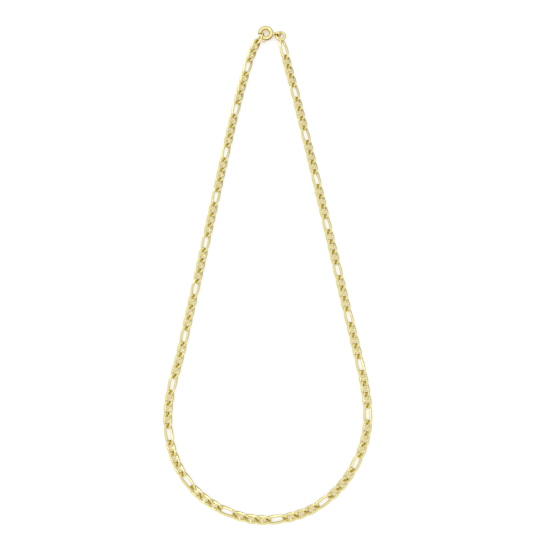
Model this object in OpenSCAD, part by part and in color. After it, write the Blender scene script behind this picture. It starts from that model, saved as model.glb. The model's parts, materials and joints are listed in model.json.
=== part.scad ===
// Figaro chain with barred short links, closed by a spring ring, lying flat.
// Millimetres. +Z up, +Y towards the clasp, the origin under the middle of the loop.

/* [Chain] */
// Number of figaro patterns, each a run of barred links and one long link
patterns = 23; // [21:1:25]
// Barred links in each pattern
barred_run = 3; // [2:1:4]
// Length of chain that one barred link takes up
barred_pitch = 4.7; // [4.5:0.1:5.6]
// Length of chain that one long link takes up
long_pitch = 7.1; // [6:0.1:9]
// Length of chain that the plain link on the bolt takes up
hook_pitch = 3.9; // [3.6:0.1:4.2]
// Width of the chain
chain_w = 3.7; // [3.5:0.1:4.2]
// Thickness of the chain between its two filed faces
chain_t = 1.7; // [1.5:0.05:2]

/* [Link wire] */
// Width of the wire, seen from above
wire_w = 1; // [0.85:0.05:1.05]
// Thickness of the wire where it isn't filed
wire_t = 0.7; // [0.55:0.05:0.8]
// Width of the bar across a barred link
bar_w = 0.8; // [0.5:0.05:1]
// Room between two linked wires, end to end
link_gap = 0.2; // [0.15:0.05:0.4]
// Turn of a link's end out of the flat, in degrees
link_twist = 40; // [38:1:48]
// Squareness of a link's ends, where 2 is an ellipse
end_square = 4.2; // [3.4:0.2:4.6]
// Share of its half-width that a long link loses towards its ends
long_taper = 0.06; // [0:0.01:0.1]

/* [Spring ring] */
// Outer diameter of the spring ring
ring_od = 7; // [6.8:0.1:8]
// Diameter of its round tube
tube_d = 1.8; // [1.7:0.05:2]
// Wall of the tube
tube_wall = 0.4; // [0.35:0.05:0.45]
// Running clearance round the bolt and its trigger
slide_gap = 0.1; // [0.08:0.01:0.14]
// Direction in which the mouth opens, in degrees from +X
mouth_angle = 214; // [213:1:218]
// Arc of the ring that the mouth takes up, in degrees
mouth_arc = 56; // [54:1:58]
// Length of the closed bolt that is seated beyond the mouth
bolt_seat = 0.3; // [0.2:0.1:0.4]
// Angle from the middle of the mouth to the trigger
trigger_turn = 42; // [42:1:46]
// Width of the trigger's tab
trigger_w = 1.4; // [1:0.1:1.6]
// Reach of the trigger's tab beyond the tube
trigger_out = 1; // [0.9:0.1:1.6]
// Thickness of the trigger's tab
trigger_t = 0.7; // [0.5:0.05:0.8]
// Room between the bolt and the link that hangs on it
hook_gap = 0.45; // [0.4:0.05:0.55]

/* [Eye] */
// Direction of the eye from the middle of the spring ring
eye_angle = -6; // [-8:1:-4]
// Width of the eye's band
eye_w = 0.9; // [0.8:0.05:0.95]
// Thickness of the eye's band
eye_t = 0.5; // [0.4:0.05:0.6]
// Length of the neck that carries the eye
eye_neck = 0.45; // [0.3:0.05:0.6]
// Diameter of the neck
neck_d = 1.2; // [0.9:0.1:1.3]

/* [End ring] */
// Outer diameter of the end ring
end_ring_od = 4.8; // [4.6:0.1:5.4]
// Diameter of its wire
end_ring_wire = 1.05; // [0.9:0.05:1.1]
// Direction of the end ring's middle from the eye
end_ring_angle = -28; // [-30:1:-22]
// Direction from its middle to the last long link, which is soldered to it
last_link_angle = -76; // [-84:1:-70]
// Lap of the last long link over the end ring's wire
solder_lap = 0.45; // [0.3:0.05:0.6]

/* [Hidden] */
$fn = 64;

gold = "#e2cd7c";
pale_gold = "#ead98f";

// Route of the chain's centre line from the bolt round to the end ring, as it was laid
route = [
    [-2, 108], [-4.5, 105], [-6.5, 100.5], [-9.5, 90.5], [-14, 73], [-18, 54.5], [-22, 35],
    [-26, 15.5], [-30, -4], [-34, -23], [-38, -42], [-41.5, -56], [-42.5, -70], [-39, -85],
    [-30, -98], [-17.5, -106], [-4, -109.5], [9.5, -108.5], [22, -103.5], [33, -93.5],
    [40, -81.5], [43, -68], [42, -55], [38.5, -38], [34, -18], [30, 0.5], [25.5, 21], [21, 41.5],
    [16.5, 61.5], [12, 81], [8, 97], [6.5, 104]
];
route_steps = 8;

// A pattern is a whole number of links, and the chain a whole number of patterns
pattern_links = round(barred_run) + 1;
link_count = round(patterns) * pattern_links;
left_count = floor(link_count / 2);

function total(v) = v * [for (x = v) 1];
function heading(a) = [cos(a), sin(a)];

// Clasp sizes and places, from the middle of the spring ring
eye_play = 0.2;
ring_mean = (ring_od - tube_d) / 2;
bore_d = tube_d - 2 * tube_wall;
bolt_d = bore_d - 2 * slide_gap;
hook_reach = ring_mean - bolt_d / 2 - hook_gap + link_gap / 2;
end_mean = (end_ring_od - end_ring_wire) / 2;
last_reach = end_ring_od / 2 - solder_lap + wire_w + link_gap / 2;

// Height of the clasp, whose bolt and end ring have a wire round them that stands on edge
clasp_z = max(bolt_d, end_ring_wire) / 2 + link_gap / 2 + wire_w;
eye_od = 2 * clasp_z;
eye_mean = (eye_od - eye_t) / 2;
eye_centre = ring_od / 2 + eye_neck + eye_od / 2;
end_centre = (eye_centre - eye_play) * heading(eye_angle) + end_mean * heading(end_ring_angle);
end_joint = end_centre + last_reach * heading(last_link_angle);
bolt_joint = hook_reach * heading(mouth_angle);

// Lengths of chain that the links take up, in order
function is_hook(i) = i == 0;
function is_long(i) = (i + 1) % pattern_links == 0;
function pitch(i) = is_hook(i) ? hook_pitch : is_long(i) ? long_pitch : barred_pitch;
function joint_z(i) =
    i == 0 ? clasp_z : i == link_count ? clasp_z - end_ring_wire / 2 : chain_t / 2;
function plan_pitch(i) = sqrt(pow(pitch(i), 2) - pow(joint_z(i + 1) - joint_z(i), 2));
plan_length = total([for (i = [0:link_count - 1]) plan_pitch(i)]);

// Smooth curve through the route's points
route_last = len(route) - 1;
function span(i) = norm(route[i + 1] - route[i]);
function chord(i) = (route[i + 1] - route[i]) / span(i);
function tangent(i) =
    i == 0 ? chord(0)
    : i == route_last ? chord(i - 1)
    : (span(i) * chord(i - 1) + span(i - 1) * chord(i)) / (span(i - 1) + span(i));
function curve(i, t) =
    (2 * pow(t, 3) - 3 * pow(t, 2) + 1) * route[i]
    + (pow(t, 3) - 2 * pow(t, 2) + t) * span(i) * tangent(i)
    + (3 * pow(t, 2) - 2 * pow(t, 3)) * route[i + 1]
    + (pow(t, 3) - pow(t, 2)) * span(i) * tangent(i + 1);
drawn = concat(
    [for (i = [0:route_last - 1], j = [0:route_steps - 1]) curve(i, j / route_steps)],
    [route[route_last]]
);
drawn_last = len(drawn) - 1;

function steps(path) = [for (i = [1:len(path) - 1]) norm(path[i] - path[i - 1])];
function distances(path) =
    let (d = steps(path)) [for (i = 0, s = 0; i <= len(d); s = s + (i < len(d) ? d[i] : 0), i = i + 1) s];
drawn_share = let (d = distances(drawn)) d / d[drawn_last];

// The route made longer or shorter, with its two ends kept a clasp apart
clasp_span = end_joint - bolt_joint;
drawn_span = drawn[drawn_last] - drawn[0];
function stretched(s) =
    [for (i = [0:drawn_last]) s * drawn[i] + (drawn_share[i] - 0.5) * (clasp_span - s * drawn_span)];
function fitted(s, rounds) =
    rounds == 0 ? s : fitted(s * plan_length / total(steps(stretched(s))), rounds - 1);
laid = stretched(fitted(1, 5));

// The whole is moved so that the origin is under the middle of its box
laid_x = [for (p = laid) p.x];
laid_y = [for (p = laid) p.y];
clasp_laid = laid[0] - bolt_joint;
middle = [
    (min(laid_x) + max(laid_x)) / 2,
    (min(laid_y) - chain_w / 2 + clasp_laid.y + ring_od / 2) / 2
];
clasp_at = clasp_laid - middle;

laid_s = distances(laid);
table_x = [for (i = [0:drawn_last]) [laid_s[i], laid[i].x - middle.x]];
table_y = [for (i = [0:drawn_last]) [laid_s[i], laid[i].y - middle.y]];
link_s = [
    for (i = 0, s = 0; i <= link_count; s = s + (i < link_count ? plan_pitch(i) : 0), i = i + 1) s
];
joints = [
    for (i = [0:link_count]) [lookup(link_s[i], table_x), lookup(link_s[i], table_y), joint_z(i)]
];

// Shape of one link, first flat, then twisted and filed
function half_length(i) = (pitch(i) + wire_w + link_gap) / 2;
cap_length = (barred_pitch + wire_w + link_gap) / 2;
cap_shares = [0.985, 0.78];
hook_cap_shares = [0.985, 0.78, 0.5];
function taper(i) = is_long(i) ? long_taper : 0;
function half_width(i, x) =
    let (
        a = half_length(i),
        e = max(abs(x) - a + min(a, cap_length), 0) / min(a, cap_length)
    )
    (chain_w - wire_w) / 2 * pow(1 - pow(e, end_square), 1 / end_square)
        * (1 - taper(i) * pow(x / a, 2));

// Stations along one rail, from its +X end to its -X end
function cap_stations(i) =
    [
        for (share = is_hook(i) ? hook_cap_shares : cap_shares)
        half_length(i) - (1 - share) * min(half_length(i), cap_length)
    ];
long_station_share = 0.33;
function middle_stations(i) =
    is_long(i) ? let (x = long_station_share * half_length(i)) [x, 0, -x] : [bar_w / 2, -bar_w / 2];
function rail(i) =
    let (ends = cap_stations(i))
    concat(ends, middle_stations(i), [for (k = [len(ends) - 1:-1:0]) -ends[k]]);
function outline(i) =
    let (xs = rail(i), n = len(xs) - 1)
    concat(
        [for (x = xs) [x, half_width(i, x)]],
        [for (k = [n:-1:0]) [xs[k], -half_width(i, xs[k])]]
    );

function outward(a, b) = let (d = (b - a) / norm(b - a)) [d.y, -d.x];
function mitre(a, p, b) =
    let (m = outward(a, p), n = outward(p, b)) (m + n) / (1 + m * n);

// Six corners of the wire's section: outward distance and height
section = [
    [wire_w / 2, 0], [wire_w / 4, wire_t / 2], [-wire_w / 4, wire_t / 2],
    [-wire_w / 2, 0], [-wire_w / 4, -wire_t / 2], [wire_w / 4, -wire_t / 2]
];
sides = len(section);
inner_side = 3;

// Turn of the wire about the link's axis. The plain link leans, and stands on edge at the bolt
hook_lean = 90;
hook_ease = 1.5;
function twist(i, x) =
    let (share = max(min(x / half_length(i), 1), -1))
    is_hook(i)
        ? link_twist + (hook_lean - link_twist) * pow((1 - share) / 2, hook_ease)
        : link_twist * share;
function filed(i, z) = is_hook(i) ? z : max(min(z, chain_t / 2), -chain_t / 2);
function turned(i, p) =
    let (a = twist(i, p.x))
    [p.x, p.y * cos(a) - p.z * sin(a), filed(i, p.y * sin(a) + p.z * cos(a))];

function link_points(i) =
    let (o = outline(i), n = len(o))
    [
        for (k = [0:n - 1], q = section)
        let (m = mitre(o[(k + n - 1) % n], o[k], o[(k + 1) % n]))
        turned(i, [o[k].x + m.x * q[0], o[k].y + m.y * q[0], q[1]])
    ];

// A link's frame runs from one of its joints to the next
function above_floor(p) = [p.x, p.y, max(p.z, 0)];
function placed(i, p) =
    let (
        a = joints[i],
        b = joints[i + 1],
        ex = (b - a) / norm(b - a),
        ey = [-ex.y, ex.x, 0] / norm([ex.x, ex.y]),
        ez = cross(ex, ey)
    )
    above_floor((a + b) / 2 + p.x * ex + p.y * ey + p.z * ez);

function station_count(i) = 2 * len(rail(i));

// Facets of one link. A bar replaces the two inner strips at the middle of a barred link
function is_barred(i) = !is_long(i) && !is_hook(i);
function bar_here(i, k) =
    is_barred(i) && (k == station_count(i) / 4 - 1 || k == station_count(i) * 3 / 4 - 1);
function strips(i) =
    let (n = station_count(i))
    [
        for (k = [0:n - 1], q = [0:sides - 1])
        if (!(bar_here(i, k) && (q == inner_side || q == inner_side - 1)))
        let (r = (q + 1) % sides, m = (k + 1) % n)
        [k * sides + q, k * sides + r, m * sides + r, m * sides + q]
    ];
function bar_rim(k, m) =
    [for (v = [[k, -1], [k, 0], [k, 1], [m, 1], [m, 0], [m, -1]]) v[0] * sides + inner_side + v[1]];
function bar_strips(i) =
    let (
        n = station_count(i),
        near = bar_rim(n / 4 - 1, n / 4),
        far = bar_rim(n * 3 / 4, n * 3 / 4 - 1)
    )
    !is_barred(i) ? [] : [for (j = [0:5]) let (m = (j + 1) % 6) [near[j], near[m], far[m], far[j]]];

// Each four-cornered strip is cut along its shorter diagonal
function cut(q, p) =
    norm(p[q[0]] - p[q[2]]) <= norm(p[q[1]] - p[q[3]])
        ? [[q[0], q[1], q[2]], [q[0], q[2], q[3]]]
        : [[q[0], q[1], q[3]], [q[1], q[2], q[3]]];

// A stretch of interlinked links, from one link up to another
module chain(first, last) {
    links = [for (i = [first:last]) [for (p = link_points(i)) placed(i, p)]];
    starts = [for (k = 0, s = 0; k < len(links); s = s + len(links[k]), k = k + 1) s];
    polyhedron(
        points = [for (p = links) each p],
        faces = [
            for (k = [0:last - first], q = concat(strips(first + k), bar_strips(first + k)))
            for (t = cut(q, links[k])) [for (v = t) starts[k] + v]
        ],
        convexity = 10
    );
}

module chain_left() {
    color(gold) chain(0, left_count - 1);
}

module chain_right() {
    color(gold) chain(left_count, link_count - 2);
}

// An arc of round wire or tube about the Z axis
module arc_wire(radius, d, from, to) {
    rotate([0, 0, from])
        rotate_extrude(angle = to - from)
            translate([radius, 0]) circle(d = d);
}

// Angles of the bolt and its slot, in degrees about the ring's axis
function arc_angle(length, radius) = length / radius * 180 / PI;
stem_d = trigger_t;
mouth_from = mouth_angle - mouth_arc / 2;
mouth_to = mouth_angle + mouth_arc / 2;
bolt_from = mouth_from - arc_angle(bolt_seat, ring_mean);
trigger_angle = mouth_angle + trigger_turn;
bolt_travel = mouth_to - bolt_from;
stem_angle = arc_angle(stem_d / 2 + slide_gap, ring_mean);
bolt_tail = trigger_angle + 2 * stem_angle;
slot_from = trigger_angle - stem_angle;
slot_to = trigger_angle + bolt_travel + stem_angle;
slot_h = stem_d + 2 * slide_gap;

// A flat band bent into a ring that stands on edge, its hole across the radius, and its neck
module eye() {
    rotate([0, 0, eye_angle]) {
        translate([ring_mean, 0, 0])
            rotate([0, 90, 0]) cylinder(d = neck_d, h = eye_centre - eye_mean - ring_mean);
        translate([eye_centre, 0, 0])
            rotate([90, 0, 0])
                rotate_extrude()
                    translate([eye_mean, 0]) {
                        square([eye_t, eye_w - eye_t], center = true);
                        for (side = [-1, 1])
                            translate([0, side * (eye_w - eye_t) / 2]) circle(d = eye_t);
                    }
    }
}

module spring_ring() {
    color(pale_gold)
        translate([clasp_at.x, clasp_at.y, clasp_z])
            difference() {
                union() {
                    arc_wire(ring_mean, tube_d, mouth_to, mouth_from + 360);
                    eye();
                }
                rotate_extrude() translate([ring_mean, 0]) circle(d = bore_d);
                rotate([0, 0, slot_from])
                    rotate_extrude(angle = slot_to - slot_from)
                        translate([ring_mean, -slot_h / 2]) square([tube_d, slot_h]);
            }
}

// The spring-loaded bolt, with a trigger that stands out through the slot
module bolt() {
    color(gold)
        translate([clasp_at.x, clasp_at.y, clasp_z]) {
            arc_wire(ring_mean, bolt_d, bolt_from, bolt_tail);
            rotate([0, 0, trigger_angle]) {
                translate([ring_mean, 0, 0])
                    rotate([0, 90, 0]) cylinder(d = stem_d, h = tube_d / 2 + slide_gap + trigger_out / 2);
                difference() {
                    translate([ring_od / 2 + trigger_out - trigger_w / 2, 0, -trigger_t / 2])
                        cylinder(d = trigger_w, h = trigger_t);
                    translate([0, 0, -trigger_t]) cylinder(r = ring_od / 2 + slide_gap, h = 2 * trigger_t);
                }
            }
        }
}

// A closed ring of round wire, soldered to the chain's last long link
module end_ring() {
    color(pale_gold) {
        translate([clasp_at.x + end_centre.x, clasp_at.y + end_centre.y, clasp_z])
            rotate_extrude() translate([end_mean, 0]) circle(d = end_ring_wire);
        chain(link_count - 1, link_count - 1);
    }
}

chain_left();
chain_right();
spring_ring();
bolt();
end_ring();
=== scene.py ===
"""Figaro chain necklace with barred short links and a spring ring clasp, lying in a closed loop."""

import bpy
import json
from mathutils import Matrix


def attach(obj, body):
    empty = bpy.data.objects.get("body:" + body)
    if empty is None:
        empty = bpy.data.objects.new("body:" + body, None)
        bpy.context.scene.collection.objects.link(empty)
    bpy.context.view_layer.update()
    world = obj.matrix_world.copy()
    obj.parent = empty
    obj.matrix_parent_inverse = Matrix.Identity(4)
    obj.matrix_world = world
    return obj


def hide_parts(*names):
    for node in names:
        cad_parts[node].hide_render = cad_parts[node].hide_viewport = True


bl_info = {
    "name": "Figaro Chain Necklace",
    "version": (1, 0, 0),
    "blender": (4, 5, 0),
    "location": "3D View > Sidebar > Necklace",
    "description": "Builds a figaro chain necklace with barred short links and its studio",
    "category": "Add Mesh",
}

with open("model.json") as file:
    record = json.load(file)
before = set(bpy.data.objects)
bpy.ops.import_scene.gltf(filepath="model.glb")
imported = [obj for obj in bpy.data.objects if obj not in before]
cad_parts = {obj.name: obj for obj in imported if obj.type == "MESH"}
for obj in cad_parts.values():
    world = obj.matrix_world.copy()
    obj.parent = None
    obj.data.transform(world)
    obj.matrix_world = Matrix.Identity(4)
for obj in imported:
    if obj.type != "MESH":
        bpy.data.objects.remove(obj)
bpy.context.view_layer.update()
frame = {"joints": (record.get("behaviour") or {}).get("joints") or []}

import json
import math

import bmesh
import bpy
import numpy as np
from bpy.props import FloatProperty, FloatVectorProperty, IntProperty, PointerProperty
from bpy.types import Operator, Panel, PropertyGroup
from mathutils import Matrix, Vector

MM = 0.001
CHAIN_BODY = "necklace"
BOLT_BODY = "bolt"

# Route of the chain's centre line from the bolt round to the end ring, as it was laid, in millimetres
ROUTE = [
    (-2, 108), (-4.5, 105), (-6.5, 100.5), (-9.5, 90.5), (-14, 73), (-18, 54.5), (-22, 35),
    (-26, 15.5), (-30, -4), (-34, -23), (-38, -42), (-41.5, -56), (-42.5, -70), (-39, -85),
    (-30, -98), (-17.5, -106), (-4, -109.5), (9.5, -108.5), (22, -103.5), (33, -93.5),
    (40, -81.5), (43, -68), (42, -55), (38.5, -38), (34, -18), (30, 0.5), (25.5, 21), (21, 41.5),
    (16.5, 61.5), (12, 81), (8, 97), (6.5, 104),
]
ROUTE_STEPS = 8
FIT_ROUNDS = 6


class ChainSizes(PropertyGroup):
    """Sizes of the links and of the chain that they make"""

    patterns: IntProperty(
        name="Patterns", description="Runs of barred links, each with one long link after it",
        default=23, min=1,
    )
    barred_run: IntProperty(
        name="Barred run", description="Barred links in each pattern", default=3, min=1,
    )
    barred_pitch: FloatProperty(
        name="Barred pitch", description="Length of chain that one barred link takes up",
        default=4.7 * MM, unit="LENGTH",
    )
    long_pitch: FloatProperty(
        name="Long pitch", description="Length of chain that one long link takes up",
        default=7.1 * MM, unit="LENGTH",
    )
    hook_pitch: FloatProperty(
        name="Hook pitch", description="Length of chain that the plain link on the bolt takes up",
        default=3.9 * MM, unit="LENGTH",
    )
    width: FloatProperty(
        name="Width", description="Width of the chain", default=3.7 * MM, unit="LENGTH",
    )
    thickness: FloatProperty(
        name="Thickness", description="Thickness of the chain between its filed faces",
        default=1.7 * MM, unit="LENGTH",
    )
    wire_width: FloatProperty(
        name="Wire width", description="Width of the wire, seen from above",
        default=1.0 * MM, unit="LENGTH",
    )
    wire_height: FloatProperty(
        name="Wire height", description="Height of the wire where it isn't filed",
        default=0.7 * MM, unit="LENGTH",
    )
    gap: FloatProperty(
        name="Gap", description="Room between two linked wires, end to end",
        default=0.2 * MM, unit="LENGTH",
    )
    twist: FloatProperty(
        name="Twist", description="Turn of a link's end out of the flat",
        default=math.radians(40), subtype="ANGLE",
    )
    outer_square: FloatProperty(
        name="Outer squareness", description="Squareness of a link's outline, where 2 is an ellipse",
        default=4.2, min=2,
    )
    inner_square: FloatProperty(
        name="Inner squareness", description="Squareness of a link's hole, where 2 is an ellipse",
        default=3.2, min=2,
    )
    long_taper: FloatProperty(
        name="Long taper", description="Share of its half-width that a long link loses towards its ends",
        default=0.06, subtype="FACTOR",
    )
    bar_width: FloatProperty(
        name="Bar width", description="Width of the bar across a barred link",
        default=0.75 * MM, unit="LENGTH",
    )
    bar_height: FloatProperty(
        name="Bar height", description="Height of the bar across a barred link",
        default=0.62 * MM, unit="LENGTH",
    )
    bar_flare: FloatProperty(
        name="Bar flare", description="How much wider the bar gets where it joins the rails",
        default=0.3 * MM, unit="LENGTH",
    )


class ClaspSizes(PropertyGroup):
    """Sizes of the spring ring, its bolt and eye, and the end ring"""

    ring_diameter: FloatProperty(
        name="Ring diameter", description="Outer diameter of the spring ring",
        default=7.0 * MM, unit="LENGTH",
    )
    tube_diameter: FloatProperty(
        name="Tube diameter", description="Diameter of the spring ring's tube",
        default=1.8 * MM, unit="LENGTH",
    )
    tube_wall: FloatProperty(
        name="Tube wall", description="Wall of the spring ring's tube", default=0.4 * MM, unit="LENGTH",
    )
    slide_gap: FloatProperty(
        name="Slide gap", description="Running clearance round the bolt and its trigger",
        default=0.1 * MM, unit="LENGTH",
    )
    mouth_angle: FloatProperty(
        name="Mouth angle", description="Direction in which the mouth opens, from +X",
        default=math.radians(214), subtype="ANGLE",
    )
    mouth_arc: FloatProperty(
        name="Mouth arc", description="Arc of the ring that the mouth takes up",
        default=math.radians(56), subtype="ANGLE",
    )
    bolt_seat: FloatProperty(
        name="Bolt seat", description="Length of the closed bolt that is seated beyond the mouth",
        default=0.3 * MM, unit="LENGTH",
    )
    trigger_turn: FloatProperty(
        name="Trigger turn", description="Angle from the middle of the mouth to the trigger",
        default=math.radians(42), subtype="ANGLE",
    )
    trigger_width: FloatProperty(
        name="Trigger width", description="Width of the trigger's tab", default=1.4 * MM, unit="LENGTH",
    )
    trigger_reach: FloatProperty(
        name="Trigger reach", description="Reach of the trigger's tab beyond the tube",
        default=1.0 * MM, unit="LENGTH",
    )
    trigger_height: FloatProperty(
        name="Trigger height", description="Thickness of the trigger's tab", default=0.7 * MM,
        unit="LENGTH",
    )
    hook_gap: FloatProperty(
        name="Hook gap", description="Room between the bolt and the link that hangs on it",
        default=0.45 * MM, unit="LENGTH",
    )
    eye_angle: FloatProperty(
        name="Eye angle", description="Direction of the eye from the middle of the spring ring",
        default=math.radians(-6), subtype="ANGLE",
    )
    eye_width: FloatProperty(
        name="Eye width", description="Width of the eye's band", default=0.9 * MM, unit="LENGTH",
    )
    eye_thickness: FloatProperty(
        name="Eye thickness", description="Thickness of the eye's band", default=0.5 * MM, unit="LENGTH",
    )
    eye_neck: FloatProperty(
        name="Eye neck", description="Length of the neck that carries the eye",
        default=0.45 * MM, unit="LENGTH",
    )
    neck_diameter: FloatProperty(
        name="Neck diameter", description="Diameter of the neck", default=1.2 * MM, unit="LENGTH",
    )
    eye_play: FloatProperty(
        name="Eye play", description="How far the end ring's wire lies inwards of the eye's middle",
        default=0.2 * MM, unit="LENGTH",
    )
    end_diameter: FloatProperty(
        name="End ring diameter", description="Outer diameter of the end ring",
        default=4.8 * MM, unit="LENGTH",
    )
    end_wire: FloatProperty(
        name="End ring wire", description="Diameter of the end ring's wire",
        default=1.05 * MM, unit="LENGTH",
    )
    end_angle: FloatProperty(
        name="End ring angle", description="Direction of the end ring's middle from the eye",
        default=math.radians(-28), subtype="ANGLE",
    )
    last_link_angle: FloatProperty(
        name="Last link angle", description="Direction of the last long link from the end ring's middle",
        default=math.radians(-76), subtype="ANGLE",
    )
    solder_lap: FloatProperty(
        name="Solder lap", description="Lap of the last long link over the end ring's wire",
        default=0.45 * MM, unit="LENGTH",
    )


class GoldFinish(PropertyGroup):
    """Colours and polish of the gold, and the colours of the painted shade in its recesses and on its steep
    sides
    """

    colour: FloatVectorProperty(
        name="Colour", description="Colour of the polished gold", subtype="COLOR", size=3,
        default=(0.815, 0.74, 0.335), min=0, max=1,
    )
    # The two recess colours are painted shade: the gold goes over to them in recesses between the links and
    # on the steep sides of the wire
    recess_shade_colour: FloatVectorProperty(
        name="Recess colour", description="Colour of the dark places between the links",
        subtype="COLOR", size=3, default=(0.58, 0.43, 0.03), min=0, max=1,
    )
    clasp_colour: FloatVectorProperty(
        name="Clasp colour", description="Colour of the clasp's gold", subtype="COLOR", size=3,
        default=(0.94, 0.84, 0.37), min=0, max=1,
    )
    clasp_recess_shade_colour: FloatVectorProperty(
        name="Clasp recess colour", description="Colour of the dark places in the clasp",
        subtype="COLOR", size=3, default=(0.5, 0.32, 0.02), min=0, max=1,
    )
    worn_share: FloatProperty(
        name="Worn share",
        description="Share of the gold's brightness that is left where its polish has dulled",
        default=0.88, min=0, max=1,
    )
    roughness: FloatProperty(
        name="Roughness", description="Roughness of the polished gold", default=0.14, min=0, max=1,
    )


class StudioSettings(PropertyGroup):
    """Camera, floor and lights"""

    lens: FloatProperty(
        name="Lens", description="Focal length on a 36 mm film", default=52.0, unit="CAMERA",
    )
    elevation: FloatProperty(
        name="Elevation", description="Height of the camera's view above the floor",
        default=math.radians(80), subtype="ANGLE",
    )
    distance: FloatProperty(
        name="Distance", description="Distance from the camera to the middle of its view",
        default=343 * MM, unit="LENGTH",
    )
    middle_x: FloatProperty(
        name="Middle X", description="Middle of the view, to the right", default=0.9 * MM, unit="LENGTH",
    )
    middle_y: FloatProperty(
        name="Middle Y", description="Middle of the view, towards the clasp", default=-3.6 * MM,
        unit="LENGTH",
    )
    floor_colour: FloatVectorProperty(
        name="Floor colour", description="Colour of the floor", subtype="COLOR", size=3,
        default=(0.3, 0.3, 0.3), min=0, max=1,
    )
    hole_colour: FloatVectorProperty(
        name="Hole colour", description="Colour of the floor's own light where small holes shade it",
        subtype="COLOR", size=3, default=(0.84, 0.69, 0.44), min=0, max=1,
    )
    floor_glow: FloatProperty(
        name="Floor glow", description="Light that the floor gives off itself", default=0.7, min=0,
    )
    bright_side: FloatProperty(
        name="Bright side",
        description="Brightness of the room at its brightest, above the loop's lower end",
        default=1.08, min=0,
    )
    dim_side: FloatProperty(
        name="Dim side", description="Brightness of the room at its dimmest, low down behind the clasp",
        default=0.36, min=0,
    )
    key_power: FloatProperty(
        name="Key power", description="Power of the large soft light", default=1.15, unit="POWER",
    )
    fill_power: FloatProperty(
        name="Fill power", description="Power of the small light", default=0.15, unit="POWER",
    )


# Lengths and places of the links, in millimetres


def mm(length):
    return length / MM


def pitch_of(chain, kind):
    return mm({"hook": chain.hook_pitch, "barred": chain.barred_pitch, "long": chain.long_pitch}[kind])


def heading(angle):
    return np.array([math.cos(angle), math.sin(angle)])


class ChainLayout:
    """Where each link lies, worked out from the sizes and the route"""

    def __init__(self, chain, clasp):
        self.chain = chain
        self.link_count = chain.patterns * (chain.barred_run + 1)
        self.left_count = self.link_count // 2
        self.place_clasp(clasp)
        self.joint_height = np.full(self.link_count + 1, mm(chain.thickness) / 2)
        self.joint_height[0] = self.clasp_z
        self.joint_height[-1] = self.clasp_z - mm(clasp.end_wire) / 2
        self.place_joints(self.laid_route())

    def kind(self, i):
        if i == 0:
            return "hook"
        return "long" if i % (self.chain.barred_run + 1) == self.chain.barred_run else "barred"

    def plan_pitch(self, i):
        rise = self.joint_height[i + 1] - self.joint_height[i]
        return math.sqrt(pitch_of(self.chain, self.kind(i)) ** 2 - rise**2)

    def place_clasp(self, clasp):
        bolt = mm(clasp.tube_diameter) - 2 * mm(clasp.tube_wall) - 2 * mm(clasp.slide_gap)
        wire = mm(self.chain.wire_width)
        gap = mm(self.chain.gap)
        self.bolt_radius = bolt / 2
        self.ring_mean = (mm(clasp.ring_diameter) - mm(clasp.tube_diameter)) / 2
        self.clasp_z = max(bolt, mm(clasp.end_wire)) / 2 + gap / 2 + wire
        self.eye_reach = mm(clasp.ring_diameter) / 2 + mm(clasp.eye_neck) + self.clasp_z
        self.end_mean = (mm(clasp.end_diameter) - mm(clasp.end_wire)) / 2
        hook_reach = self.ring_mean - bolt / 2 - mm(clasp.hook_gap) + gap / 2
        self.bolt_joint = hook_reach * heading(clasp.mouth_angle)
        eye = (self.eye_reach - mm(clasp.eye_play)) * heading(clasp.eye_angle)
        self.end_centre = eye + self.end_mean * heading(clasp.end_angle)
        last_reach = mm(clasp.end_diameter) / 2 - mm(clasp.solder_lap) + wire + gap / 2
        self.end_joint = self.end_centre + last_reach * heading(clasp.last_link_angle)
        self.clasp_at = np.array(frame["joints"][0]["pos_m"][:2]) / MM

    def laid_route(self):
        """The route made longer or shorter, with its two ends kept a clasp apart"""
        route = np.array(ROUTE, float)
        spans = np.linalg.norm(np.diff(route, axis=0), axis=1)
        chords = np.diff(route, axis=0) / spans[:, None]
        before, after = spans[:-1, None], spans[1:, None]
        inner = (after * chords[:-1] + before * chords[1:]) / (before + after)
        tangents = np.vstack([chords[:1], inner, chords[-1:]])
        points = []
        for i, span in enumerate(spans):
            for t in np.arange(ROUTE_STEPS) / ROUTE_STEPS:
                points.append(
                    (2 * t**3 - 3 * t**2 + 1) * route[i]
                    + (t**3 - 2 * t**2 + t) * span * tangents[i]
                    + (3 * t**2 - 2 * t**3) * route[i + 1]
                    + (t**3 - t**2) * span * tangents[i + 1]
                )
        drawn = np.array(points + [route[-1]])
        steps = np.linalg.norm(np.diff(drawn, axis=0), axis=1)
        share = np.concatenate([[0], np.cumsum(steps)]) / steps.sum()
        clasp_span = self.end_joint - self.bolt_joint
        wanted = sum(self.plan_pitch(i) for i in range(self.link_count))
        scale = 1.0
        for _ in range(FIT_ROUNDS):
            closing = clasp_span - scale * (drawn[-1] - drawn[0])
            laid = scale * drawn + (share - 0.5)[:, None] * closing
            scale *= wanted / np.linalg.norm(np.diff(laid, axis=0), axis=1).sum()
        return laid + self.clasp_at + self.bolt_joint - laid[0]

    def place_joints(self, laid):
        along = np.concatenate([[0], np.cumsum(np.linalg.norm(np.diff(laid, axis=0), axis=1))])
        ends = np.concatenate([[0], np.cumsum([self.plan_pitch(i) for i in range(self.link_count)])])
        self.joints = np.column_stack(
            [np.interp(ends, along, laid[:, 0]), np.interp(ends, along, laid[:, 1]), self.joint_height]
        )

    def link_frame(self, i):
        """Middle and axes of a link, whose +X runs to the next joint"""
        a, b = self.joints[i], self.joints[i + 1]
        ex = (b - a) / np.linalg.norm(b - a)
        ey = np.array([-ex[1], ex[0], 0.0])
        ey /= np.linalg.norm(ey)
        return (a + b) / 2, np.array([ex, ey, np.cross(ex, ey)])


# Shapes of the links, in millimetres

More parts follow.
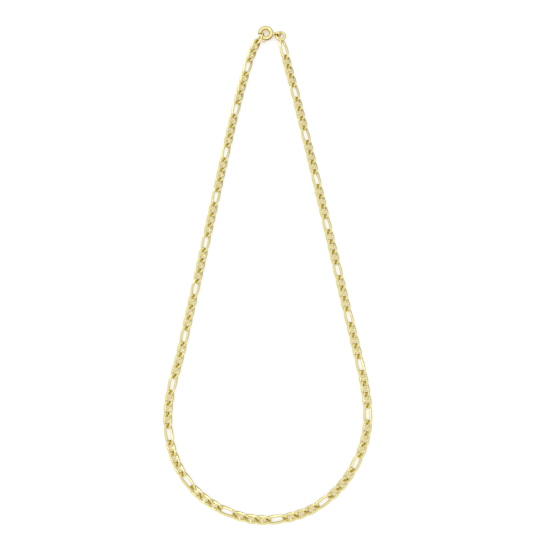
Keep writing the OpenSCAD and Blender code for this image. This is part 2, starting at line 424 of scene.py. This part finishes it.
STATIONS = 84
RIM_SAMPLES = 400
STRAIGHT_SAMPLES = 60
SECTION_SIDES = 16
SECTION_SQUARE = 2.05
BAR_STATIONS = 15
BAR_SIDES = 14
BAR_SQUARE = 2.6
BAR_PLAIN = 0.35
BAR_RISE = 0.03
HOOK_LEAN = math.radians(90)
HOOK_EASE = 2
LOOSE_ROLL = math.radians(2.5)
ROLL_STEP = 2.4
FILE_BLOCK = 4.0
SHARP_ANGLE = math.radians(32)


def signed_power(value, power):
    return np.sign(value) * np.abs(value) ** power


def rim(angle, reach, cap, half, square, taper):
    """Point of a link's inner or outer edge, at an angle round the link"""
    cap_x = cap * signed_power(np.cos(angle), 2 / square)
    x = cap_x + np.sign(np.cos(angle)) * (reach - cap)
    y = half * signed_power(np.sin(angle), 2 / square) * (1 - taper * (x / reach) ** 2)
    return np.column_stack([x, y])


def link_rims(chain, length, kind):
    """Inner and outer edges of a flat link, at evenly spaced stations"""
    wire = mm(chain.wire_width)
    cap = min(length, (mm(chain.barred_pitch) + wire + mm(chain.gap)) / 2)
    half = (mm(chain.width) - wire) / 2
    taper = chain.long_taper if kind == "long" else 0.0
    quarter = np.linspace(0, math.pi / 2, RIM_SAMPLES)
    straight = np.linspace(0, 1, STRAIGHT_SAMPLES)[1:]
    pair = []
    for side, square in ((1, chain.outer_square), (-1, chain.inner_square)):
        grow = side * wire / 2
        edge = rim(quarter, length + grow, cap + grow, half + grow, square, taper)
        if kind == "long":
            x = edge[-1, 0] * (1 - straight)
            rail = np.column_stack([x, (half + grow) * (1 - taper * (x / length) ** 2)])
            edge = np.vstack([edge, rail])
        pair.append(edge)
    middle = (pair[0] + pair[1]) / 2
    along = np.concatenate([[0], np.cumsum(np.linalg.norm(np.diff(middle, axis=0), axis=1))])
    even = np.linspace(0, along[-1], STATIONS // 4 + 1)
    quarters = [np.column_stack([np.interp(even, along, p[:, k]) for k in (0, 1)]) for p in pair]
    return [mirrored_round(q) for q in quarters]


def mirrored_round(quarter):
    """A quarter of a closed outline, from +X to +Y, repeated round all four quarters"""
    back = quarter[::-1][1:]
    upper = np.vstack([quarter, back * [-1, 1]])
    lower = upper[::-1][1:-1] * [1, -1]
    return np.vstack([upper, lower])


def tube_faces(rings, sides, closed):
    """Quads that join rings of points, and the two ends if the tube is open"""
    faces = []
    for k in range(rings if closed else rings - 1):
        m = (k + 1) % rings
        for q in range(sides):
            r = (q + 1) % sides
            faces.append((k * sides + q, k * sides + r, m * sides + r, m * sides + q))
    if not closed:
        faces.append(tuple(range(sides))[::-1])
        faces.append(tuple((rings - 1) * sides + q for q in range(sides)))
    return faces


def full_turn(steps):
    return np.arange(steps) * 2 * math.pi / steps


def section(sides, square):
    turn = full_turn(sides)
    return signed_power(np.cos(turn), 2 / square), signed_power(np.sin(turn), 2 / square)


def flat_loop(chain, length, kind):
    outer, inner = link_rims(chain, length, kind)
    across, up = section(SECTION_SIDES, SECTION_SQUARE)
    centre = (outer + inner) / 2
    reach = (outer - inner) / 2
    xy = centre[:, None, :] + reach[:, None, :] * across[None, :, None]
    z = np.broadcast_to(mm(chain.wire_height) / 2 * up, xy.shape[:2])
    points = np.dstack([xy, z]).reshape(-1, 3)
    return points, tube_faces(len(outer), SECTION_SIDES, True)


def flat_bar(chain):
    half = (mm(chain.width) - mm(chain.wire_width)) / 2
    ys = np.linspace(-half, half, BAR_STATIONS)
    inside = half - mm(chain.wire_width) / 2
    near = np.clip((np.abs(ys) - BAR_PLAIN * inside) / ((1 - BAR_PLAIN) * inside), 0, 1) ** 2
    across, up = section(BAR_SIDES, BAR_SQUARE)
    wide = mm(chain.bar_width) / 2 + mm(chain.bar_flare) / 2 * near
    high = mm(chain.bar_height) / 2 + BAR_RISE * near
    points = np.array([(w * a, y, h * u) for y, w, h in zip(ys, wide, high) for a, u in zip(across, up)])
    return points, tube_faces(BAR_STATIONS, BAR_SIDES, False)


def twisted(chain, points, length, kind):
    """Turns each point about the link's axis, more the further it is from the middle"""
    share = np.clip(points[:, 0] / length, -1, 1)
    turn = chain.twist * share
    if kind == "hook":
        turn = chain.twist + (HOOK_LEAN - chain.twist) * ((1 - share) / 2) ** HOOK_EASE
    y = points[:, 1] * np.cos(turn) - points[:, 2] * np.sin(turn)
    z = points[:, 1] * np.sin(turn) + points[:, 2] * np.cos(turn)
    return np.column_stack([points[:, 0], y, z])


def mesh_object(name, points, faces):
    data = bpy.data.meshes.new(name)
    data.from_pydata([tuple(p) for p in points], [], faces)
    data.validate()
    piece = bpy.data.objects.new(name, data)
    bpy.context.scene.collection.objects.link(piece)
    return piece


def solid_object(name, points, faces):
    """A closed mesh whose faces all look outwards"""
    piece = mesh_object(name, points, faces)
    build = bmesh.new()
    build.from_mesh(piece.data)
    bmesh.ops.recalc_face_normals(build, faces=build.faces)
    build.to_mesh(piece.data)
    build.free()
    return piece


def combine(piece, other, operation):
    """Joins another object to a piece, or cuts it out, and removes the other"""
    step = piece.modifiers.new(operation, "BOOLEAN")
    step.operation = operation
    step.solver = "EXACT"
    step.object = other
    depsgraph = bpy.context.evaluated_depsgraph_get()
    result = bpy.data.meshes.new_from_object(piece.evaluated_get(depsgraph))
    piece.modifiers.clear()
    piece.data = result
    bpy.data.objects.remove(other)


def block(name, low, high):
    xs, ys, zs = zip(low, high)
    corners = [(x, y, z) for x in xs for y in ys for z in zs]
    faces = [(0, 1, 3, 2), (4, 6, 7, 5), (0, 4, 5, 1), (2, 3, 7, 6), (0, 2, 6, 4), (1, 5, 7, 3)]
    return solid_object(name, corners, faces)


def link_template(chain, kind):
    """Points and faces of one link in its own frame"""
    length = (pitch_of(chain, kind) + mm(chain.wire_width) + mm(chain.gap)) / 2
    points, faces = flat_loop(chain, length, kind)
    piece = solid_object("link", twisted(chain, points, length, kind), faces)
    if kind == "barred":
        points, faces = flat_bar(chain)
        bar = solid_object("bar", twisted(chain, points, length, kind), faces)
        combine(piece, bar, "UNION")
    if kind != "hook":
        face = mm(chain.thickness) / 2
        for low, high in ((face, FILE_BLOCK), (-FILE_BLOCK, -face)):
            tool = block("file", (-2 * FILE_BLOCK, -FILE_BLOCK, low), (2 * FILE_BLOCK, FILE_BLOCK, high))
            combine(piece, tool, "DIFFERENCE")
    points = np.array([v.co for v in piece.data.vertices])
    faces = [tuple(p.vertices) for p in piece.data.polygons]
    bpy.data.objects.remove(piece)
    return points, faces


def chain_stretch(name, layout, first, last):
    """A stretch of the chain as one mesh, from one link up to another"""
    templates = {}
    points, faces, count = [], [], 0
    for i in range(first, last + 1):
        kind = layout.kind(i)
        if kind not in templates:
            templates[kind] = link_template(layout.chain, kind)
        local, local_faces = templates[kind]
        middle, axes = layout.link_frame(i)
        roll = Matrix.Rotation(LOOSE_ROLL * math.sin(ROLL_STEP * i), 3, "X")
        placed = middle + local @ np.array(roll) @ axes
        placed[:, 2] = np.maximum(placed[:, 2], 0)
        points.append(placed)
        faces += [tuple(count + v for v in f) for f in local_faces]
        count += len(local)
    return mesh_object(name, np.vstack(points), faces)


# Shapes of the clasp, in millimetres about the middle of the spring ring

RING_STEP = math.radians(2)
TUBE_SIDES = 32
WIRE_SIDES = 24
TURN_STEPS = 48
KEEP_OFF_STEPS = 128
SLOT_STEPS = 40
LIP_ROUND = 0.12
LIP_STEPS = 4
EYE_STEPS = 72
EYE_EDGE_STEPS = 9
NECK_STEPS = 12
NECK_WAIST = 0.86
NECK_SWELL = 0.5


def sweep(name, stations, sides, closed=False):
    """A tube about the Z axis through stations of angle, radius and radius of the tube"""
    turn = full_turn(sides)
    points = []
    for angle, radius, tube in stations:
        reach = radius + tube * np.cos(turn)
        x = reach * math.cos(angle)
        y = reach * math.sin(angle)
        points.append(np.column_stack([x, y, tube * np.sin(turn)]))
    return solid_object(name, np.vstack(points), tube_faces(len(stations), sides, closed))


def rounded_arc(start, end, radius, tube, round_by):
    """Stations of an arc whose two ends are rounded"""
    quarter = np.linspace(0, math.pi / 2, LIP_STEPS + 1)
    lip = []
    for q in quarter[::-1]:
        lip.append((round_by * (1 - math.sin(q)) / radius, tube - round_by * (1 - math.cos(q))))
    count = max(int((end - start) / RING_STEP), 2)
    inner = np.linspace(start, end, count + 1)[1:-1]
    first = [(start + a, radius, t) for a, t in lip]
    last = [(end - a, radius, t) for a, t in lip[::-1]]
    middle = [(a, radius, tube) for a in inner if first[-1][0] < a < last[0][0]]
    return first + middle + last


def ring_of(name, radius, tube, sides):
    """A closed ring of round wire about the Z axis"""
    angles = np.arange(int(round(2 * math.pi / RING_STEP))) * RING_STEP
    return sweep(name, [(angle, radius, tube) for angle in angles], sides, closed=True)


def turned_about(name, profile, steps=TURN_STEPS):
    """A closed solid of revolution about the X axis from points of place along it and radius"""
    turn = full_turn(steps)
    points = [(x, r * math.cos(t), r * math.sin(t)) for x, r in profile for t in turn]
    return solid_object(name, points, tube_faces(len(profile), steps, False))


def turned_upright(name, profile, steps=TURN_STEPS):
    """A closed solid of revolution about the Z axis from points of height and radius"""
    piece = turned_about(name, profile, steps)
    piece.data.transform(Matrix.Rotation(-math.pi / 2, 4, "Y"))
    return piece


def ring_segment(name, start, end, inside, outside, height):
    """A flat part of a ring about the Z axis, square in section"""
    half = height / 2
    corners = ((inside, -half), (outside, -half), (outside, half), (inside, half))
    angles = np.linspace(start, end, SLOT_STEPS)
    points = [(r * math.cos(a), r * math.sin(a), z) for a in angles for r, z in corners]
    return solid_object(name, points, tube_faces(SLOT_STEPS, len(corners), False))


def moved(piece, place, turn_z=0.0, turn_x=0.0):
    """Turns a piece's points about X, then about Z, and moves them"""
    piece.data.transform(
        Matrix.Translation(place) @ Matrix.Rotation(turn_z, 4, "Z") @ Matrix.Rotation(turn_x, 4, "X")
    )
    return piece


def eye_piece(layout, clasp):
    """The upright band on its neck, which swells where it is soldered"""
    band = (mm(clasp.eye_width) - mm(clasp.eye_thickness)) / 2
    edge = mm(clasp.eye_thickness) / 2
    mean = layout.clasp_z - edge
    half_turn = np.linspace(-math.pi / 2, math.pi / 2, EYE_EDGE_STEPS)
    profile = [(mean + edge * math.sin(a), band + edge * math.cos(a)) for a in half_turn]
    profile += [(mean - edge * math.sin(a), -band - edge * math.cos(a)) for a in half_turn]
    points = [(r * math.cos(t), z, r * math.sin(t)) for t in full_turn(EYE_STEPS) for r, z in profile]
    eye = solid_object("eye", points, tube_faces(EYE_STEPS, len(profile), True))
    moved(eye, (layout.eye_reach, 0, 0))
    start = layout.ring_mean
    end = layout.eye_reach - mean
    slim = mm(clasp.neck_diameter) / 2
    places = np.linspace(start, end, NECK_STEPS)
    middle = mm(clasp.ring_diameter) / 2 + mm(clasp.eye_neck) / 2
    neck = turned_about("neck", [(x, slim * (NECK_WAIST + NECK_SWELL * (x - middle) ** 2)) for x in places])
    combine(eye, neck, "UNION")
    return moved(eye, (0, 0, 0), clasp.eye_angle)


def spring_ring(layout, clasp):
    """The hollow ring with its mouth, slot and eye"""
    tube = mm(clasp.tube_diameter) / 2
    bore = tube - mm(clasp.tube_wall)
    mean = layout.ring_mean
    mouth_from = clasp.mouth_angle - clasp.mouth_arc / 2
    mouth_to = clasp.mouth_angle + clasp.mouth_arc / 2
    arc = rounded_arc(mouth_to, mouth_from + 2 * math.pi, mean, tube, LIP_ROUND)
    ring = sweep("ring", arc, TUBE_SIDES)
    combine(ring, eye_piece(layout, clasp), "UNION")
    combine(ring, ring_of("bore", mean, bore, WIRE_SIDES), "DIFFERENCE")
    stem = (mm(clasp.trigger_height) / 2 + mm(clasp.slide_gap)) / mean
    trigger = clasp.mouth_angle + clasp.trigger_turn
    travel = clasp.mouth_arc + mm(clasp.bolt_seat) / mean
    slot = ring_segment(
        "slot", trigger - stem, trigger + travel + stem, mean, mean + 2 * tube,
        mm(clasp.trigger_height) + 2 * mm(clasp.slide_gap),
    )
    combine(ring, slot, "DIFFERENCE")
    return ring


def bolt(layout, clasp):
    """The curved bolt with its trigger, a round tab on a stem"""
    mean = layout.ring_mean
    height = mm(clasp.trigger_height)
    start = clasp.mouth_angle - clasp.mouth_arc / 2 - mm(clasp.bolt_seat) / mean
    trigger = clasp.mouth_angle + clasp.trigger_turn
    end = trigger + (height + 2 * mm(clasp.slide_gap)) / mean
    piece = sweep("bolt", rounded_arc(start, end, mean, layout.bolt_radius, LIP_ROUND), WIRE_SIDES)
    outside = mm(clasp.ring_diameter) / 2
    tab_radius = mm(clasp.trigger_width) / 2
    tab_middle = outside + mm(clasp.trigger_reach) - tab_radius
    stem = turned_about("stem", [(mean, height / 2), (tab_middle, height / 2)])
    combine(piece, moved(stem, (0, 0, 0), trigger), "UNION")
    tab = turned_upright("tab", [
        (-height / 2, tab_radius - LIP_ROUND), (-height / 2 + LIP_ROUND, tab_radius),
        (height / 2 - LIP_ROUND, tab_radius), (height / 2, tab_radius - LIP_ROUND),
    ])
    moved(tab, (tab_middle, 0, 0))
    clear = outside + mm(clasp.slide_gap)
    keep_off = turned_upright("keep off", [(-height, clear), (height, clear)], KEEP_OFF_STEPS)
    combine(tab, keep_off, "DIFFERENCE")
    combine(piece, moved(tab, (0, 0, 0), trigger), "UNION")
    return piece


def end_ring(layout, clasp):
    """The end ring with the last long link soldered to it"""
    wire = mm(clasp.end_wire) / 2
    ring = ring_of("end ring", layout.end_mean, wire, WIRE_SIDES)
    moved(ring, (*(layout.clasp_at + layout.end_centre), layout.clasp_z))
    last = layout.link_count - 1
    link = chain_stretch("last link", layout, last, last)
    combine(ring, link, "UNION")
    return ring


def finish_piece(piece, name, material, body, node):
    """Sizes a piece in metres, smooths it and gives it its place in the necklace"""
    piece.name = name
    piece.data.transform(Matrix.Scale(MM, 4))
    piece.data.materials.clear()
    piece.data.materials.append(material)
    piece.data.shade_smooth()
    piece.data.set_sharp_from_angle(angle=SHARP_ANGLE)
    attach(piece, body)
    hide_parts(node)


# Materials

PATCH_SCALE = 420.0
PATCH_DETAIL = 4.0
PATCH_LOW = 0.3
PATCH_HIGH = 0.7
BEST_POLISH = 0.7
WORST_POLISH = 1.4
MARK_SCALE = 9000.0
MARK_DETAIL = 3.0
MARK_STRENGTH = 0.06
MARK_DEPTH = 0.02 * MM
FLANK_FROM = 0.2
FLANK_TO = 0.95
FLANK_SHADE = 0.05
RECESS_REACH = 1.2 * MM
RECESS_SAMPLES = 8
RECESS_SHADE = 0.06
FACE_SHADE = 0.6


def noise(nodes, scale, detail):
    node = nodes.new("ShaderNodeTexNoise")
    node.inputs["Scale"].default_value = scale
    node.inputs["Detail"].default_value = detail
    return node


def colour_mix(nodes, first, second):
    """A node that goes from the first colour to the second"""
    node = nodes.new("ShaderNodeMix")
    node.data_type = "RGBA"
    node.inputs["A"].default_value = (*first, 1)
    node.inputs["B"].default_value = (*second, 1)
    return node


def map_range(nodes, low, high, to_low=0.0, to_high=1.0):
    """A node that takes values from one range to another"""
    node = nodes.new("ShaderNodeMapRange")
    node.inputs["From Min"].default_value = low
    node.inputs["From Max"].default_value = high
    node.inputs["To Min"].default_value = to_low
    node.inputs["To Max"].default_value = to_high
    return node


def openness(nodes, reach, samples):
    """A node that says how open the surroundings of a point are, within a reach"""
    node = nodes.new("ShaderNodeAmbientOcclusion")
    node.samples = samples
    node.inputs["Distance"].default_value = reach
    return node


def gold_material(name, gold, painted_shade_gold, finish):
    """Polished gold with fine handling marks, duller patches, and painted shade in its recesses and on the
    steep sides of the wire
    """
    material = bpy.data.materials.new(name)
    material.use_nodes = True
    nodes, links = material.node_tree.nodes, material.node_tree.links
    shader = nodes["Principled BSDF"]
    shader.inputs["Metallic"].default_value = 1.0
    place = nodes.new("ShaderNodeTexCoord")

    patches = noise(nodes, PATCH_SCALE, PATCH_DETAIL)
    links.new(place.outputs["Object"], patches.inputs["Vector"])
    colour = colour_mix(nodes, gold, [part * finish.worn_share for part in gold])
    links.new(patches.outputs["Fac"], colour.inputs["Factor"])
    polish = map_range(
        nodes, PATCH_LOW, PATCH_HIGH, finish.roughness * BEST_POLISH, finish.roughness * WORST_POLISH
    )
    links.new(patches.outputs["Fac"], polish.inputs["Value"])
    links.new(polish.outputs["Result"], shader.inputs["Roughness"])

    # Painted shade: the colour is darker where the surroundings close in, in the recesses between the links
    open_air = openness(nodes, RECESS_REACH, RECESS_SAMPLES)
    shade = map_range(nodes, RECESS_SHADE, FACE_SHADE)
    links.new(open_air.outputs["AO"], shade.inputs["Value"])
    # Painted shade: the colour is darker on the steep sides of the wire, the less the surface faces up
    surface = nodes.new("ShaderNodeNewGeometry")
    upward = nodes.new("ShaderNodeSeparateXYZ")
    links.new(surface.outputs["Normal"], upward.inputs["Vector"])
    flank = map_range(nodes, FLANK_FROM, FLANK_TO, to_low=FLANK_SHADE)
    links.new(upward.outputs["Z"], flank.inputs["Value"])
    bright_share = nodes.new("ShaderNodeMath")
    bright_share.operation = "MULTIPLY"
    links.new(shade.outputs["Result"], bright_share.inputs[0])
    links.new(flank.outputs["Result"], bright_share.inputs[1])
    # The gold goes over to the painted shade colour where either painted shade is deep
    painted_shade = colour_mix(nodes, painted_shade_gold, gold)
    links.new(bright_share.outputs["Value"], painted_shade.inputs["Factor"])
    links.new(colour.outputs["Result"], painted_shade.inputs["B"])
    links.new(painted_shade.outputs["Result"], shader.inputs["Base Color"])

    marks = noise(nodes, MARK_SCALE, MARK_DETAIL)
    links.new(place.outputs["Object"], marks.inputs["Vector"])
    bump = nodes.new("ShaderNodeBump")
    bump.inputs["Strength"].default_value = MARK_STRENGTH
    bump.inputs["Distance"].default_value = MARK_DEPTH
    links.new(marks.outputs["Fac"], bump.inputs["Height"])
    links.new(bump.outputs["Normal"], shader.inputs["Normal"])
    return material


# Studio

FILM_WIDTH = 36
CLIP_START = 0.01
CLIP_END = 10
AIM_HEIGHT = 0.8 * MM
FLOOR_REACH = 1.5
FLOOR_ROUGHNESS = 0.9
HOLE_REACH = 4 * MM
HOLE_SAMPLES = 16
HOLE_SHADE = 0.32
OPEN_SHADE = 0.65
BRIGHT_TURN = math.radians(250)
BRIGHT_HEIGHT = math.radians(45)
DIM_TO = -0.9
BRIGHT_FROM = 0.1
KEY_PLACE = (-0.45, 0.15, 0.75)
KEY_SIDE = 0.3
FILL_PLACE = (0.25, -0.5, 0.6)
FILL_SIDE = 0.12


def add_camera(scene, studio):
    data = bpy.data.cameras.new("camera")
    data.sensor_width = FILM_WIDTH
    data.lens = studio.lens
    data.clip_start = CLIP_START
    data.clip_end = CLIP_END
    camera = bpy.data.objects.new("camera", data)
    scene.collection.objects.link(camera)
    middle = Vector((studio.middle_x, studio.middle_y, AIM_HEIGHT))
    away = Vector((0, -math.cos(studio.elevation), math.sin(studio.elevation)))
    camera.location = middle + studio.distance * away
    camera.rotation_euler = (math.pi / 2 - studio.elevation, 0, 0)
    scene.camera = camera


def floor_material(studio):
    """Matt floor that gives off light, warmer and dimmer where small holes shade it"""
    material = bpy.data.materials.new("floor")
    material.use_nodes = True
    nodes, links = material.node_tree.nodes, material.node_tree.links
    shader = nodes["Principled BSDF"]
    shader.inputs["Base Color"].default_value = (*studio.floor_colour, 1)
    shader.inputs["Roughness"].default_value = FLOOR_ROUGHNESS
    shader.inputs["Specular IOR Level"].default_value = 0.0
    shader.inputs["Emission Strength"].default_value = studio.floor_glow
    open_sky = openness(nodes, HOLE_REACH, HOLE_SAMPLES)
    share = map_range(nodes, HOLE_SHADE, OPEN_SHADE)
    links.new(open_sky.outputs["AO"], share.inputs["Value"])
    glow = colour_mix(nodes, studio.hole_colour, (1, 1, 1))
    links.new(share.outputs["Result"], glow.inputs["Factor"])
    links.new(glow.outputs["Result"], shader.inputs["Emission Color"])
    return material


def add_floor(studio):
    r = FLOOR_REACH
    floor = mesh_object("floor", [(-r, -r, 0), (r, -r, 0), (r, r, 0), (-r, r, 0)], [(0, 1, 2, 3)])
    floor.data.materials.append(floor_material(studio))
    floor.visible_glossy = False


def add_room(scene, studio):
    """White surroundings that are brighter towards one direction and dimmer away from it"""
    world = bpy.data.worlds.new("room")
    world.use_nodes = True
    scene.world = world
    nodes, links = world.node_tree.nodes, world.node_tree.links
    back = nodes["Background"]
    back.inputs["Color"].default_value = (1, 1, 1, 1)
    place = nodes.new("ShaderNodeTexCoord")
    towards = nodes.new("ShaderNodeVectorMath")
    towards.operation = "DOT_PRODUCT"
    towards.inputs[1].default_value = (
        math.cos(BRIGHT_HEIGHT) * math.cos(BRIGHT_TURN),
        math.cos(BRIGHT_HEIGHT) * math.sin(BRIGHT_TURN),
        math.sin(BRIGHT_HEIGHT),
    )
    links.new(place.outputs["Generated"], towards.inputs[0])
    glow = map_range(nodes, DIM_TO, BRIGHT_FROM, studio.dim_side, studio.bright_side)
    links.new(towards.outputs["Value"], glow.inputs["Value"])
    links.new(glow.outputs["Result"], back.inputs["Strength"])


def add_area_light(scene, name, place, side, power):
    """A square light that looks at the middle of the floor"""
    data = bpy.data.lights.new(name, "AREA")
    data.shape = "SQUARE"
    data.size = side
    data.energy = power
    light = bpy.data.objects.new(name, data)
    scene.collection.objects.link(light)
    light.location = place
    light.rotation_euler = (-Vector(place)).to_track_quat("-Z", "Y").to_euler()


# Operators


class NECKLACE_OT_chain(Operator):
    """Builds the two halves of the chain"""

    bl_idname = "necklace.chain"
    bl_label = "Chain"

    def execute(self, context):
        scene = context.scene
        layout = ChainLayout(scene.necklace_chain, scene.necklace_clasp)
        finish = scene.necklace_gold
        gold = gold_material("chain gold", finish.colour, finish.recess_shade_colour, finish)
        left = chain_stretch("left", layout, 0, layout.left_count - 1)
        finish_piece(left, "chain_left_links", gold, CHAIN_BODY, "chain_left")
        right = chain_stretch("right", layout, layout.left_count, layout.link_count - 2)
        finish_piece(right, "chain_right_links", gold, CHAIN_BODY, "chain_right")
        return {"FINISHED"}


class NECKLACE_OT_clasp(Operator):
    """Builds the spring ring, its bolt and the end ring"""

    bl_idname = "necklace.clasp"
    bl_label = "Clasp"

    def execute(self, context):
        scene = context.scene
        layout = ChainLayout(scene.necklace_chain, scene.necklace_clasp)
        clasp = scene.necklace_clasp
        finish = scene.necklace_gold
        gold = gold_material("clasp gold", finish.clasp_colour, finish.clasp_recess_shade_colour, finish)
        at = (*layout.clasp_at, layout.clasp_z)
        ring = moved(spring_ring(layout, clasp), at)
        finish_piece(ring, "spring_ring_tube", gold, CHAIN_BODY, "spring_ring")
        slide = moved(bolt(layout, clasp), at)
        finish_piece(slide, "bolt_and_trigger", gold, BOLT_BODY, "bolt")
        end = end_ring(layout, clasp)
        finish_piece(end, "end_ring_and_link", gold, CHAIN_BODY, "end_ring")
        return {"FINISHED"}


class NECKLACE_OT_stage(Operator):
    """Sets up the camera, the floor and the lights"""

    bl_idname = "necklace.stage"
    bl_label = "Stage"

    def execute(self, context):
        scene = context.scene
        studio = scene.necklace_studio
        add_camera(scene, studio)
        add_floor(studio)
        add_room(scene, studio)
        add_area_light(scene, "key", KEY_PLACE, KEY_SIDE, studio.key_power)
        add_area_light(scene, "fill", FILL_PLACE, FILL_SIDE, studio.fill_power)
        scene.view_settings.view_transform = "Standard"
        scene.view_settings.look = "None"
        return {"FINISHED"}


class NECKLACE_PT_panel(Panel):
    """Lists the steps and the settings"""

    bl_label = "Necklace"
    bl_idname = "NECKLACE_PT_panel"
    bl_space_type = "VIEW_3D"
    bl_region_type = "UI"
    bl_category = "Necklace"

    def draw(self, context):
        column = self.layout.column(align=True)
        for operator in OPERATORS:
            column.operator(operator.bl_idname)
        for setting in SETTINGS:
            box = self.layout.box()
            group = getattr(context.scene, setting)
            for name in group.__annotations__:
                box.prop(group, name)


SETTINGS = {
    "necklace_chain": ChainSizes,
    "necklace_clasp": ClaspSizes,
    "necklace_gold": GoldFinish,
    "necklace_studio": StudioSettings,
}
OPERATORS = (NECKLACE_OT_chain, NECKLACE_OT_clasp, NECKLACE_OT_stage)
CLASSES = (*SETTINGS.values(), *OPERATORS, NECKLACE_PT_panel)


def register():
    for cls in CLASSES:
        bpy.utils.register_class(cls)
    for setting, group in SETTINGS.items():
        setattr(bpy.types.Scene, setting, PointerProperty(type=group))


def unregister():
    for setting in SETTINGS:
        delattr(bpy.types.Scene, setting)
    for cls in reversed(CLASSES):
        bpy.utils.unregister_class(cls)


def main():
    register()
    bpy.ops.necklace.stage()
    bpy.ops.necklace.chain()
    bpy.ops.necklace.clasp()


if __name__ == "__main__":
    main()
